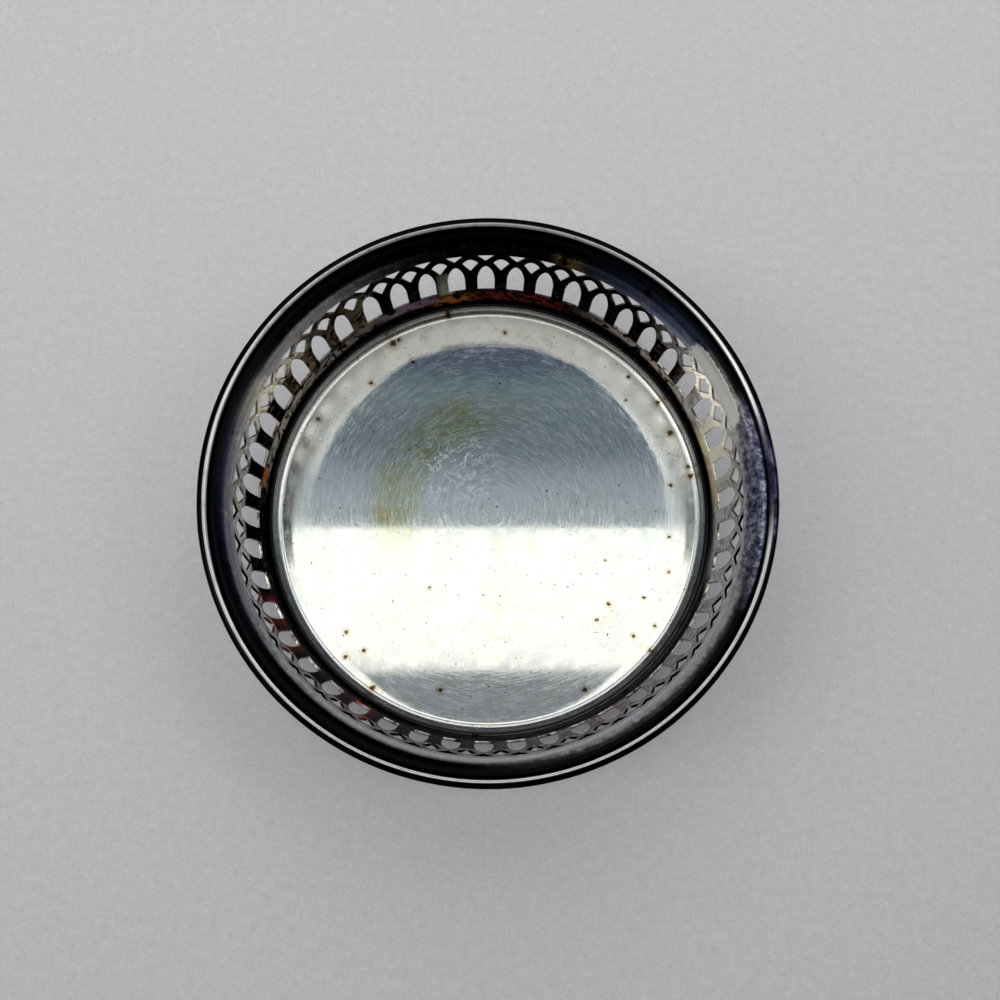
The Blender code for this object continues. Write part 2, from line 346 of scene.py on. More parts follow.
edit(strip, "faces", lambda face: True)
bpy.ops.mesh.quads_convert_to_tris(quad_method="BEAUTY", ngon_method="BEAUTY")
leave_edit()
for column in range(1, COLUMNS):
    bisect_at(strip, (BAY / 2 * column / COLUMNS, 0, 0), (1, 0, 0), keep_all=True)
flare_start = SKIRT_LENGTH + WALL_LENGTH
levels = [SKIRT_LENGTH] + [flare_start + FLARE_LENGTH * row / FLARE_ROWS for row in range(FLARE_ROWS + 1)]
for level in levels:
    bisect_at(strip, (0, 0, level), (0, 0, 1), keep_all=True)
print("divided:", triangles(strip), "triangles")

# %% [markdown]
# A mirror makes the whole bay and an array repeats it. The strip is then rolled and flared in one
# step: each point's distance along the strip becomes an angle, and its height becomes a place on the
# wall's section. The strip's ends meet in a pier that is 1 mm wider than the others, as on the real
# one, where the ends are soldered. The faces that a saw cut are marked, because they stay brighter, and
# so is the outer side, which a hand rubs evenly. Hand rolling also spaces the bays a little unevenly,
# by up to half a degree round the ring.

# %% Repeat the bay, then roll and flare the strip
WELD = 0.004 * MM
SEAM_EASE_SHARE = 0.22
SEAM_FAN_SHARE, SEAM_FAN_EASE = 0.29, 0.18
SEAM_FAN_FROM, SEAM_FAN_TO = 0.50, 0.70
SAWN_NORMAL = 0.8
UNEVEN = ((0, -0.08, 0.0), (1, 0.18, -0.53), (2, 0.13, 0.33), (3, 0.10, 0.03))

apply(strip, "MIRROR", use_axis=(True, False, False), use_mirror_merge=True, merge_threshold=WELD)
apply(strip, "ARRAY", count=BAY_COUNT, use_relative_offset=False, use_constant_offset=True,
      constant_offset_displace=(BAY, 0, 0), use_merge_vertices=True, merge_threshold=WELD)


def eased(share):
    share = min(max(share, 0), 1)
    return share * share * (3 - 2 * share)


def seam_step(off):
    """From 0 to 1 across the seam's pier, which takes all the extra width where the windows are."""
    return eased((off + SEAM_EASE_SHARE) / (2 * SEAM_EASE_SHARE))


def seam_step_round_fan(off):
    """From 0 to 1 in two steps, one on each side of the fan, so that the fan keeps its width."""
    before, after = -SEAM_FAN_SHARE - SEAM_FAN_EASE, SEAM_FAN_SHARE
    return (eased((off - before) / SEAM_FAN_EASE) + eased((off - after) / SEAM_FAN_EASE)) / 2


def seam_shift(bays, height):
    """How much of the seam's extra width lies before a point, as a share of it."""
    up = (height - SILL_HEIGHT) / PIERCED
    at_fan = eased((up - SEAM_FAN_FROM) / (SEAM_FAN_TO - SEAM_FAN_FROM))
    total = -0.5
    for off in (bays + 0.5, bays - BAY_COUNT + 0.5):
        total += seam_step(off) * (1 - at_fan) + seam_step_round_fan(off) * at_fan
    return total


def unevenness(azimuth):
    """How far a point strays round the ring, as slow waves."""
    waves = [a * math.cos(n * azimuth) + b * math.sin(n * azimuth) for n, a, b in UNEVEN]
    return math.radians(sum(waves))


sawn = strip.data.attributes.new("sawn", "FLOAT", "FACE")
outer_face = strip.data.attributes.new("outer_face", "FLOAT", "FACE")
for face in strip.data.polygons:
    sawn.data[face.index].value = 1.0 if abs(face.normal.y) < SAWN_NORMAL else 0.0
    outer_face.data[face.index].value = 1.0 if face.normal.y >= SAWN_NORMAL else 0.0

for point in strip.data.vertices:
    bays = point.co.x / BAY
    azimuth = SEAM_AZIMUTH + BAY_ANGLE * (bays + 0.5) + SEAM_ANGLE * seam_shift(bays, point.co.z)
    azimuth += unevenness(azimuth)
    radius, level = formed(point.co.z, point.co.y)
    point.co = (radius * math.cos(azimuth), radius * math.sin(azimuth), level)
edit(strip, "verts", lambda vert: True)
bpy.ops.mesh.remove_doubles(threshold=WELD)
bpy.ops.mesh.normals_make_consistent(inside=False)
leave_edit()
smooth(strip, 40)
apply(strip, "WEIGHTED_NORMAL", keep_sharp=True, weight=80)
gallery = strip
print("gallery:", triangles(gallery), "triangles")

# %% [markdown]
# ## Rim wire and foot wire
#
# Both are drawn round wire bent into a ring, so each starts as a torus. A wire that has been handled
# for years is never quite round: a slow ripple, far smaller than the wire, makes its long highlight
# waver as a real one does.


# %% Make the two wires
RIPPLE = 0.035 * MM
RIM_STEPS = (320, 28)
FOOT_STEPS = (288, 20)


def wire_ring(name, path, radius, level, around, across):
    bpy.ops.mesh.primitive_torus_add(
        major_radius=path, minor_radius=radius - RIPPLE, location=(0, 0, level),
        major_segments=around, minor_segments=across)
    item = place_in_mesh(added(name))
    for point in item.data.vertices:
        turn = math.atan2(point.co.y, point.co.x)
        wave = math.sin(turn * 5 + 1) * 0.4 + math.sin(turn * 13 + 2) * 0.35 + math.sin(turn * 29) * 0.25
        point.co += (outward(turn) * 0.6 + Vector((0, 0, 0.7))) * wave * RIPPLE
    return smooth(item, 60)


rim_wire = wire_ring("rim_wire_drawn", WIRE_PATH, WIRE_RADIUS, WIRE_Z, *RIM_STEPS)
foot_radius = (FOOT_HIGH[2] - FOOT_LOW[2]) / 2
foot_wire = wire_ring("foot_wire_drawn", FOOT_HIGH[0] - foot_radius, foot_radius,
                      FOOT_LOW[2] + foot_radius, *FOOT_STEPS)
print("rim wire:", triangles(rim_wire), "foot wire:", triangles(foot_wire), "triangles")

# %% [markdown]
# ## Floor pan
#
# The floor is a disc pressed into a shallow dish. It starts as a cylinder whose top is taken off. Its
# lower edge is bevelled into the cove, rings are inset across the floor, and a thickness is added
# outside. Pressed sheet is a little uneven, and a mirror shows it, so the floor gets swells of a few
# thousandths of a millimetre, strongest near the edge.

# %% Press the pan
PAN_SHEET = 0.6 * MM
PAN_COVE = 1.8 * MM
PAN_INNER = PAN_HIGH[0] - PAN_SHEET
PAN_AROUND = 288
COVE_STEPS = 12
FLOOR_RINGS = 30
FLOOR_SWELL = 0.003 * MM
SWELL_FADE = 2 * MM
FLAT = 0.999

pan_depth = PAN_HIGH[2] - FLOOR_TOP
bpy.ops.mesh.primitive_cylinder_add(
    vertices=PAN_AROUND, radius=PAN_INNER, depth=pan_depth, location=(0, 0, FLOOR_TOP + pan_depth / 2))
pan = place_in_mesh(added("floor_pan_pressed"))
edit(pan, "faces", lambda face: face.normal.z > 0.5)
bpy.ops.mesh.delete(type="FACE")
leave_edit()
apply(pan, "BEVEL", width=PAN_COVE, segments=COVE_STEPS, limit_method="ANGLE",
      angle_limit=math.radians(60), use_clamp_overlap=False)
flat_radius = PAN_INNER - PAN_COVE
edit(pan, "faces", lambda face: face.normal.z < -FLAT and len(face.verts) > 4)
for ring in range(FLOOR_RINGS):
    bpy.ops.mesh.inset(thickness=flat_radius / (FLOOR_RINGS + 1))
bpy.ops.mesh.poke()
bpy.ops.mesh.select_all(action="SELECT")
bpy.ops.mesh.flip_normals()
leave_edit()


def swell(point):
    radius = math.hypot(point.x, point.y)
    turn = math.atan2(point.y, point.x)
    edge = eased(radius / flat_radius * 6 - 5)
    slow = math.sin(point.x / (9 * MM) + 1) * math.sin(point.y / (11 * MM) + 2)
    beat = math.sin(turn * BAY_COUNT + 1) * math.sin(radius / (1.7 * MM))
    beat += math.sin(turn * 31 + radius / (3 * MM))
    return FLOOR_SWELL * (slow * 0.3 + beat * edge * 1.2)


for point in pan.data.vertices:
    inside = flat_radius - math.hypot(point.co.x, point.co.y)
    if inside > 0:
        point.co.z += swell(point.co) * eased(inside / SWELL_FADE)
apply(pan, "SOLIDIFY", thickness=PAN_SHEET, offset=-1, use_even_offset=True)
smooth(pan, 50)
print("pan:", triangles(pan), "triangles")

# %% [markdown]
# ## Solder
#
# The pan is soldered into the gallery and the rim wire onto the lip. Solder creeps along the joint and
# leaves a thin sunk fillet, which closes the gap that the frame leaves between its solids.


# %% Run solder into the two joints
SOLDER_STEPS = (288, 12)
PAN_SOLDER_WIDE, PAN_SOLDER_HIGH = SEAT_GAP + 0.1 * MM, 0.7 * MM
RIM_SOLDER_WIDE, RIM_SOLDER_HIGH = 1.5 * MM, SEAT_GAP + 0.12 * MM


def solder_ring(name, path, level, wide, high, tilt):
    bpy.ops.mesh.primitive_torus_add(
        major_radius=path, minor_radius=wide / 2, major_segments=SOLDER_STEPS[0],
        minor_segments=SOLDER_STEPS[1])
    item = added(name)
    for point in item.data.vertices:
        turn = math.atan2(point.co.y, point.co.x)
        off = math.hypot(point.co.x, point.co.y) - path
        rise = point.co.z * high / wide
        lumpy = 1 + 0.12 * math.sin(turn * 17) + 0.1 * math.sin(turn * 41 + 1)
        across = off * math.cos(tilt) - rise * math.sin(tilt)
        up = off * math.sin(tilt) + rise * math.cos(tilt)
        point.co = outward(turn) * (path + across) + Vector((0, 0, level + up * lumpy))
    return smooth(item, 60)


pan_solder = solder_ring("pan_solder", SKIRT_INNER - SEAT_GAP / 2, PAN_HIGH[2] - PAN_SOLDER_HIGH / 2,
                         PAN_SOLDER_WIDE, PAN_SOLDER_HIGH, 0)
seat_under_wire = slant(LIP_ANGLE)[1] * (WIRE_RADIUS + SEAT_GAP / 2)
rim_solder = solder_ring("rim_solder", WIRE_PATH + seat_under_wire.x, WIRE_Z + seat_under_wire.y,
                         RIM_SOLDER_WIDE, RIM_SOLDER_HIGH, math.pi / 2 - LIP_ANGLE)
print("solder:", triangles(pan_solder) + triangles(rim_solder), "triangles")

# %% [markdown]
# ## Wooden base, pins and baize
#
# A turned disc lies under the pan, held by eight brass pins through the gallery's foot. The baize is
# glued below it. Only their edges and the underside show, so the disc gets an eased edge and turning
# rings, and the baize gets a soft edge and a nap that stands unevenly. One pin is made with a domed
# head, and seven copies of it follow, each with its own mesh.

# %% Turn the wooden disc
DISC_AROUND = 192
EASED_EDGE = 0.4 * MM
TURNING_RINGS = 9
TURNING_STEP = 0.5 * MM
TURNING_DEPTH = 0.05 * MM

bpy.ops.mesh.primitive_cylinder_add(
    vertices=DISC_AROUND, radius=DISC_HIGH[0], depth=DISC_HIGH[2] - DISC_LOW[2],
    location=(0, 0, (DISC_HIGH[2] + DISC_LOW[2]) / 2))
base_disc = place_in_mesh(added("base_disc_turned"))
apply(base_disc, "BEVEL", width=EASED_EDGE, segments=4, limit_method="ANGLE")
edit(base_disc, "faces", lambda face: face.normal.z < -FLAT and len(face.verts) > 4)
for ring in range(TURNING_RINGS):
    bpy.ops.mesh.inset(thickness=TURNING_STEP, depth=TURNING_DEPTH * (-1) ** ring)
leave_edit()
smooth(base_disc, 30)

# %% Make one pin, a dome on a shank
PIN_COUNT = 8
PIN_AROUND = 24
HEAD_STEPS = 6

pin_low, pin_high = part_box("base_pin_1")
PIN_Z = (pin_low[2] + pin_high[2]) / 2
HEAD_RADIUS = 0.9 * MM
HEAD_HEIGHT = 0.6 * MM
SHANK_RADIUS = 0.6 * MM
SHANK_LENGTH = 5.4 * MM
HEAD_SEAT = SKIRT_INNER + SHEET + SEAT_GAP

bpy.ops.mesh.primitive_uv_sphere_add(segments=PIN_AROUND, ring_count=HEAD_STEPS * 2, radius=HEAD_RADIUS)
first_pin = added("base_pin_1_driven")
bisect_at(first_pin, (0, 0, 0), (0, 0, -1))
first_pin.scale = (1, 1, HEAD_HEIGHT / HEAD_RADIUS)
place_in_mesh(first_pin)
edit(first_pin, "edges", lambda line: line.is_boundary)
shrink = SHANK_RADIUS / HEAD_RADIUS
bpy.ops.mesh.extrude_edges_move()
bpy.ops.transform.resize(value=(shrink, shrink, 1))
bpy.ops.mesh.extrude_edges_move(TRANSFORM_OT_translate={"value": (0, 0, -SHANK_LENGTH)})
bpy.ops.mesh.edge_face_add()
bpy.ops.mesh.select_all(action="SELECT")
bpy.ops.mesh.normals_make_consistent(inside=False)
leave_edit()
smooth(first_pin, 40)

# %% Copy the pin and drive all eight in
pins = [first_pin]
for number in range(2, PIN_COUNT + 1):
    select_only(first_pin)
    bpy.ops.object.duplicate(linked=False)
    pins.append(added(f"base_pin_{number}_driven"))
for number, pin in enumerate(pins, start=1):
    azimuth = math.tau * (number - 0.5) / PIN_COUNT
    out = outward(azimuth)
    turn = out.to_track_quat("Z", "Y").to_matrix().to_4x4()
    pin.data.transform(Matrix.Translation(out * HEAD_SEAT + Vector((0, 0, PIN_Z))) @ turn)
pin_meshes = {pin.data.name for pin in pins}
print(len(pins), "pins with", len(pin_meshes), "meshes,", triangles(pins[0]), "triangles each")

# %% Lay the baize
BAIZE_AROUND = 240
BAIZE_EDGE = 0.35 * MM
BAIZE_RINGS = 36
NAP = 0.05 * MM

baize_radius = BAIZE_HIGH[0]
bpy.ops.mesh.primitive_cylinder_add(
    vertices=BAIZE_AROUND, radius=baize_radius - NAP, depth=BAIZE_HIGH[2] - NAP,
    location=(0, 0, (BAIZE_HIGH[2] + NAP) / 2))
baize = place_in_mesh(added("baize_cloth"))
apply(baize, "BEVEL", width=BAIZE_EDGE, segments=3, limit_method="ANGLE")
edit(baize, "faces", lambda face: abs(face.normal.z) > FLAT and len(face.verts) > 4)
for ring in range(BAIZE_RINGS):
    bpy.ops.mesh.inset(thickness=(baize_radius - BAIZE_EDGE) / (BAIZE_RINGS + 2))
bpy.ops.mesh.poke()
leave_edit()
for point in baize.data.vertices:
    if point.co.z < BAIZE_EDGE:
        x, y = point.co.x / MM, point.co.y / MM
        nap = math.sin(x * 2.9 + y * 1.3) * math.sin(y * 3.3 - x * 0.7)
        nap += math.sin(x * 0.8) * math.sin(y * 0.9)
        point.co.z = max(point.co.z + NAP * nap * 0.4, 0)
smooth(baize, 60)
print("baize:", triangles(baize), "triangles")

# %% [markdown]
# ## Finishes
#
# Every finish is built from nodes that read the piece's own place, so it stays put from any side. The
# helpers below keep the node work short. Some do sums, some make textures and colours, and others make
# the measures that several finishes share, such as the distance from the axis and the angle round it.


# %% Helpers for building finishes
def start_finish(name):
    """Begin a new material. The helpers below add their nodes to the one that was begun last."""
    global material, tree, shader, PLACE, X, Y, Z
    material = bpy.data.materials.new(name)
    material.use_nodes = True
    tree = material.node_tree
    shader = tree.nodes["Principled BSDF"]
    PLACE = node("ShaderNodeTexCoord", output="Object")
    X, Y, Z = node("ShaderNodeSeparateXYZ", (PLACE,)).node.outputs


def feed(socket, value):
    """Link a socket to another node's output, or set it to a plain value."""
    if isinstance(value, bpy.types.NodeSocket):
        tree.links.new(value, socket)
    else:
        socket.default_value = (*value, 1) if socket.type == "RGBA" else value


def node(kind, inputs=(), output=0, **settings):
    """Add a node, feed its inputs in order or by name, and return one of its outputs."""
    new = tree.nodes.new(kind)
    for setting, value in settings.items():
        setattr(new, setting, value)
    for socket, value in inputs.items() if isinstance(inputs, dict) else enumerate(inputs):
        feed(new.inputs[socket], value)
    return new.outputs[output]


def calc(operation, *values):
    return node("ShaderNodeMath", values, operation=operation)


def chain(operation, values):
    """The operation on the first two values, then on its result and each further value."""
    result = values[0]
    for value in values[1:]:
        result = calc(operation, result, value)
    return result


def times(*values):
    return chain("MULTIPLY", values)


def plus(*values):
    return chain("ADD", values)


def highest(*values):
    return chain("MAXIMUM", values)


def less(value, amount):
    return calc("SUBTRACT", value, amount)


def rest(share):
    return less(1.0, share)


def linear(value, factor, offset):
    return calc("MULTIPLY_ADD", value, factor, offset)


def length(x, y):
    return calc("SQRT", plus(times(x, x), times(y, y)))


def from_axis():
    return length(X, Y)


def ramp(value, *limits):
    """A smooth step between two limits, from 0 to 1 or between two further values."""
    return node("ShaderNodeMapRange", (value, *limits), interpolation_type="SMOOTHSTEP")


def fall(value, low, high):
    return ramp(value, low, high, 1.0, 0.0)


def near(value, middle, close, far):
    """1 close to a middle value, falling to 0 at the far distance from it."""
    return fall(calc("ABSOLUTE", less(value, middle)), close, far)


def zone(low, high, soft=0.7 * MM):
    """1 between two heights."""
    return times(ramp(Z, low - soft, low + soft), fall(Z, high - soft, high + soft))


def facing(degrees, width):
    """1 at a direction round the axis, falling to 0 at the width to either side, in degrees."""
    cosine = calc("COSINE", less(calc("ARCTAN2", Y, X), math.radians(degrees)))
    return ramp(cosine, math.cos(math.radians(width)), 1.0)


def join(*parts):
    return node("ShaderNodeCombineXYZ", parts)


def streaks(along, across):
    """A place that changes fast across the wiping and slowly along it, with no seam round the ring."""
    return join(times(X, along), times(Y, along), times(plus(from_axis(), Z), across))


def noise(scale, detail, roughness, place=None, distortion=0.0):
    inputs = {"Vector": place or PLACE, "Scale": scale, "Detail": detail, "Roughness": roughness,
              "Distortion": distortion}
    return node("ShaderNodeTexNoise", inputs, output="Fac")


def attribute(name):
    return node("ShaderNodeAttribute", output="Fac", attribute_name=name)


def colours(value, *stops):
    """The colour at a value, from stops that are each a position and a colour."""
    colour = node("ShaderNodeValToRGB", (value,))
    marks = colour.node.color_ramp.elements
    while len(marks) < len(stops):
        marks.new(1.0)
    for mark, (position, tint) in zip(marks, stops):
        mark.position = position
        mark.color = (*tint, 1)
    return colour


def mix(share, first, second):
    return node("ShaderNodeMix", {0: share, 6: first, 7: second}, output=2, data_type="RGBA")


def layers(colour, *films):
    """Lay films over a colour in turn, each with its share and its own colour."""
    for share, film in films:
        colour = mix(share, colour, film)
    return colour


def bump(height, depth, strength):
    inputs = {"Height": height, "Distance": depth, "Strength": strength}
    feed(shader.inputs["Normal"], node("ShaderNodeBump", inputs, output="Normal"))


def done(colour, roughness, metallic):
    for name, value in (("Base Color", colour), ("Roughness", roughness), ("Metallic", metallic)):
        feed(shader.inputs[name], value)
    return material


# %% [markdown]
# ### Tarnish
#
# Silver tarnishes through straw, red, violet and blue to black. Most of the wall's inner side is black,
# with a fine mottle. It is greyer where a cloth or a thumb reaches: on the right, in the upper tracery
# and in the band over the openings. On the right and the near right that grey is partly painted
# reflection, and the band on the near side is painted light grey as a reflection. Patches of the thinner
# films are left inside here and there; a few pale cream ones on the right and the left are partly painted
# highlights, and a white painted highlight lies on the flare on the right. The outer side is rubbed grey
# in soft clouds. Black tarnish still shines as metal does, but where it is worn it is duller, so the
# share of metal falls there.

# %% Places on the wall
SILL_Z = formed(SILL_HEIGHT, 0)[1]
TOP_Z = formed(SILL_HEIGHT + PIERCED, 0)[1]
TRACERY_FROM = SILL_Z + 9 * MM
BAND_LOW, BAND_HIGH = TOP_Z - 0.4 * MM, TOP_Z + 3.4 * MM
# The next heights bound a painted highlight on the flare.
PAINTED_GLINT_LOW, PAINTED_GLINT_HIGH = TOP_Z - 0.2 * MM, TOP_Z + 3.9 * MM
LIP_FROM, LIP_FULL = TOP_Z + 3.6 * MM, TOP_Z + 4.8 * MM

# Places round the wall, each a direction and a half width, in degrees.
RIGHT_SIDE, NEAR_RIGHT, NEAR_SIDE = (6, 30), (322, 62), (285, 85)
BLACK_BAND_SIDE, BLACK_TRACERY_SIDE, BLACK_EDGE_SIDE = (88, 54), (90, 84), (100, 75)
BLUE_SIDE, PAINTED_GLINT_SIDE, HIGH_BLACK_EDGE_SIDE = (357, 25), (25, 12.5), (270, 115)

# Each patch: direction, half width in degrees, from and to height in mm over the table, blotch scale,
# blotch threshold, colour. The pale cream rows at 13, 23, 153 and 160 degrees are partly painted
# highlights, where the wall would catch the lamps.
WALL_PATCHES_AND_HIGHLIGHTS = (
    (86, 22, 11.5, 15.2, 420, 0.50, (0.15, 0.028, 0.024)),
    (100, 7, 10.5, 14.5, 420, 0.48, (0.33, 0.13, 0.04)),
    (101.5, 2.6, 15.5, 25, 420, 0.34, (0.27, 0.28, 0.23)),
    (71, 5, 31.5, 35, 350, 0.46, (0.30, 0.23, 0.08)),
    (50, 21, 31, 36.5, 300, 0.40, (0.075, 0.10, 0.20)),
    (114, 12, 12.5, 15.6, 380, 0.44, (0.24, 0.17, 0.24)),
    (124, 5, 14, 30, 300, 0.46, (0.15, 0.14, 0.10)),
    (139, 16, 16, 33, 480, 0.50, (0.15, 0.11, 0.075)),
    (153, 15, 25, 34, 330, 0.46, (0.66, 0.60, 0.47)),
    (150, 32, 31.2, 34.4, 300, 0.45, (0.44, 0.42, 0.46)),
    (160, 8, 31.3, 35, 260, 0.42, (0.90, 0.82, 0.62)),
    (173, 3.5, 13, 15.6, 380, 0.46, (0.32, 0.09, 0.03)),
    (185, 42, 31.5, 35.5, 300, 0.42, (0.24, 0.23, 0.28)),
    (186, 22, 35, 37, 200, 0.44, (0.03, 0.03, 0.10)),
    (208, 5, 16, 27, 380, 0.42, (0.25, 0.05, 0.035)),
    (216, 4, 16, 27, 380, 0.42, (0.25, 0.05, 0.035)),
    (232, 3, 16, 24, 380, 0.40, (0.25, 0.04, 0.03)),
    (239, 4, 14, 27, 380, 0.36, (0.34, 0.05, 0.03)),
    (296, 14, 16, 25, 380, 0.50, (0.22, 0.06, 0.05)),
    (10, 14, 12.5, 15.6, 300, 0.40, (0.55, 0.42, 0.22)),
    (13, 10, 15, 27, 240, 0.36, (0.80, 0.74, 0.58)),
    (23, 14, 24, 32, 260, 0.40, (0.80, 0.76, 0.66)),
    (148, 34, 11.8, 15.0, 480, 0.49, (0.29, 0.26, 0.24)),
    (40, 30, 13, 15.4, 340, 0.45, (0.30, 0.27, 0.26)),
    (305, 64, 9.4, 12.2, 300, 0.42, (0.36, 0.36, 0.39)))

# %% Tarnished silver for the gallery
BLOTCH_EDGE = 0.035
PATCH_SHARE_INSIDE, PATCH_SHARE_OUTSIDE = 0.9, 0.1
# Tarnish doesn't brighten at a slant as clean metal does, so its edge colour is held down.
EDGE_TINT = (0.42, 0.42, 0.42, 1)


def blotches(scale, threshold):
    spots = noise(scale, 6, 0.68, distortion=0.7)
    return ramp(spots, threshold - BLOTCH_EDGE, threshold + BLOTCH_EDGE)


def wear_and_painted_reflection(grain, band, sawn, outer):
    """How far the tarnish is worn: by place inside, partly painted reflection on the right and near right,
    and in soft clouds outside.
    """
    # On the near right and the right, the grey, duller wear is partly painted reflection of light the wall
    # would mirror.
    near_right = times(facing(*NEAR_RIGHT), ramp(Z, SILL_Z - 0.4 * MM, SILL_Z + MM))
    right = times(facing(*RIGHT_SIDE), ramp(Z, PAN_HIGH[2] + 2 * MM, SILL_Z))
    tracery = times(zone(TRACERY_FROM, TOP_Z), less(0.8, facing(*BLACK_TRACERY_SIDE)))
    inside = times(highest(near_right, right, band, tracery), rest(outer))
    outside = times(outer, ramp(noise(75, 5, 0.65), 0.42, 0.66, 0.1, 0.6))
    share = times(plus(inside, outside), linear(grain, 1.2, 0.4), rest(sawn))
    return calc("MINIMUM", share, 1.0)


def bare_edges(sawn):
    """1 on the sawn edges that show bare metal, in broken runs: few far off, and none high up nearby."""
    high_up = ramp(Z, TRACERY_FROM, TRACERY_FROM + MM)
    high_up = times(high_up, facing(*HIGH_BLACK_EDGE_SIDE))
    broken = ramp(noise(500, 4, 0.6), 0.38, 0.56)
    return times(sawn, rest(facing(*BLACK_EDGE_SIDE)), fall(high_up, 0.1, 0.3), broken)


def tarnished_silver():
    start_finish("tarnished_silver")
    grain = noise(620, 7, 0.72, distortion=0.4)
    thick = colours(grain, (0.38, (0.003, 0.0028, 0.003)), (0.54, (0.010, 0.008, 0.008)),
                    (0.64, (0.045, 0.036, 0.033)), (0.78, (0.17, 0.145, 0.13)))
    thin = colours(grain, (0.32, (0.14, 0.132, 0.13)), (0.50, (0.38, 0.36, 0.355)),
                   (0.68, (0.64, 0.61, 0.585)))
    violet = colours(grain, (0.36, (0.010, 0.010, 0.036)), (0.48, (0.10, 0.095, 0.16)),
                     (0.62, (0.40, 0.385, 0.44)))
    sawn, outer = attribute("sawn"), attribute("outer_face")
    inner = rest(outer)
    band = times(zone(BAND_LOW, BAND_HIGH, 0.5 * MM), rest(facing(*BLACK_BAND_SIDE)))
    worn_and_painted_reflection = wear_and_painted_reflection(grain, band, sawn, outer)
    # Painted reflection: the band on the near side is laid light grey where it would mirror light from
    # above.
    near_band_painted_reflection = times(band, inner, facing(*NEAR_SIDE), 0.75)
    colour = layers(thick, (worn_and_painted_reflection, thin), (near_band_painted_reflection, (0.50, 0.50, 0.535)))
    patch_share = linear(outer, PATCH_SHARE_OUTSIDE - PATCH_SHARE_INSIDE, PATCH_SHARE_INSIDE)
    # The pale cream patches laid here are partly painted highlights.
    for direction, width, low, high, scale, threshold, tint in WALL_PATCHES_AND_HIGHLIGHTS:
        place = times(facing(direction, width), zone(low * MM, high * MM))
        colour = mix(times(place, blotches(scale, threshold), patch_share), colour, tint)
    lip = ramp(Z, LIP_FROM, LIP_FULL)
    flare = ramp(Z, TOP_Z + 0.8 * MM, TOP_Z + 2.2 * MM)
    blue = times(flare, facing(*BLUE_SIDE), inner)
    # Painted highlight: a white, duller patch high on the flare on the right, where a lamp's reflection
    # falls.
    spot = times(facing(*PAINTED_GLINT_SIDE), zone(PAINTED_GLINT_LOW, PAINTED_GLINT_HIGH))
    ragged = ramp(linear(grain, 0.8, spot), 0.56, 0.76)
    painted_glint = times(ragged, inner, ramp(spot, 0.02, 0.12))
    bare = times(bare_edges(sawn), 0.8)
    colour = layers(colour, (lip, (0.003, 0.003, 0.004)), (blue, violet), (painted_glint, (0.96, 0.95, 0.90)),
                    (bare, (0.66, 0.62, 0.57)))
    rough = linear(noise(260, 4, 0.6), 0.20, 0.12)
    rough = linear(band, 0.16, linear(painted_glint, 0.08, rough))
    wiping = noise(1.0, 2, 0.5, streaks(250, 5200))
    bump(linear(wiping, 0.6, grain), 0.015 * MM, 0.5)
    shader.inputs["Specular Tint"].default_value = EDGE_TINT
    low_painted_glint = times(painted_glint, ramp(Z, TOP_Z + 1.8 * MM, TOP_Z + 2.8 * MM, 0.9, 0.2))
    dull = times(highest(times(worn_and_painted_reflection, 0.62), low_painted_glint), rest(lip))
    return done(colour, rough, rest(dull))


# %% Rubbed silver with a painted highlight for the rim wire, and darker silver for the foot
UNRUBBED_SIDE = (2, 16)


def bright_and_tarnished_silver(name, bright_part, bright, tarnished):
    """Bright over the part that the mask picks, partly a painted highlight on the rim wire, and tarnished
    down its sides.
    """
    start_finish(name)
    patch = noise(260, 6, 0.7, distortion=0.3)
    # On the rim wire this bright share is partly a painted highlight: paler and half as metallic.
    share = times(bright_part(), ramp(patch, 0.22, 0.52, 0.55, 1.0))
    violet = colours(patch, (0.40, tarnished), (0.52, (0.040, 0.038, 0.085)), (0.66, (0.16, 0.15, 0.20)))
    unrubbed = times(facing(*UNRUBBED_SIDE), ramp(Z, WIRE_Z, WIRE_Z + 0.9 * MM))
    colour = layers(tarnished, (share, bright), (unrubbed, violet))
    rough = linear(noise(300, 3, 0.6), 0.14, 0.14)
    bump(noise(1.0, 3, 0.6, streaks(500, 3000)), 0.01 * MM, 0.3)
    shader.inputs["Specular Tint"].default_value = EDGE_TINT
    return done(colour, rough, linear(share, -0.5, 1.0))


def crown_rub_and_painted_highlight():
    """1 on the wire's upper inner quarter, where a bottle and a cloth rub it; its limits shift round the
    ring to place a painted highlight line.
    """
    out = less(from_axis(), WIRE_PATH)
    outer = linear(facing(90, 115), -0.26 * MM, -0.28 * MM)
    inner = linear(facing(270, 100), 0.42 * MM, -1.12 * MM)
    before_crown = fall(less(out, outer), 0.0, 0.22 * MM)
    after_lip = ramp(less(out, inner), 0.0, 0.2 * MM)
    return times(before_crown, after_lip, ramp(Z, WIRE_Z + 0.2 * MM, WIRE_Z + 0.5 * MM))


def upper_half():
    return ramp(Z, FOOT_LOW[2], FOOT_HIGH[2] + 1.5 * MM)


# %% [markdown]
# ### Polished floor
#
# The floor is the one surface that was kept bright. Close to, it is covered in hair-fine scratches
# that mostly run round, from wiping. It has an arc of yellow and brown stain, a few dried water rings,
# a cloudy white border on the far side that is partly a painted reflection, a painted dark line of shade
# at the top of the cove, and small pits where the plate is breaking down, each with a brown stain round it.

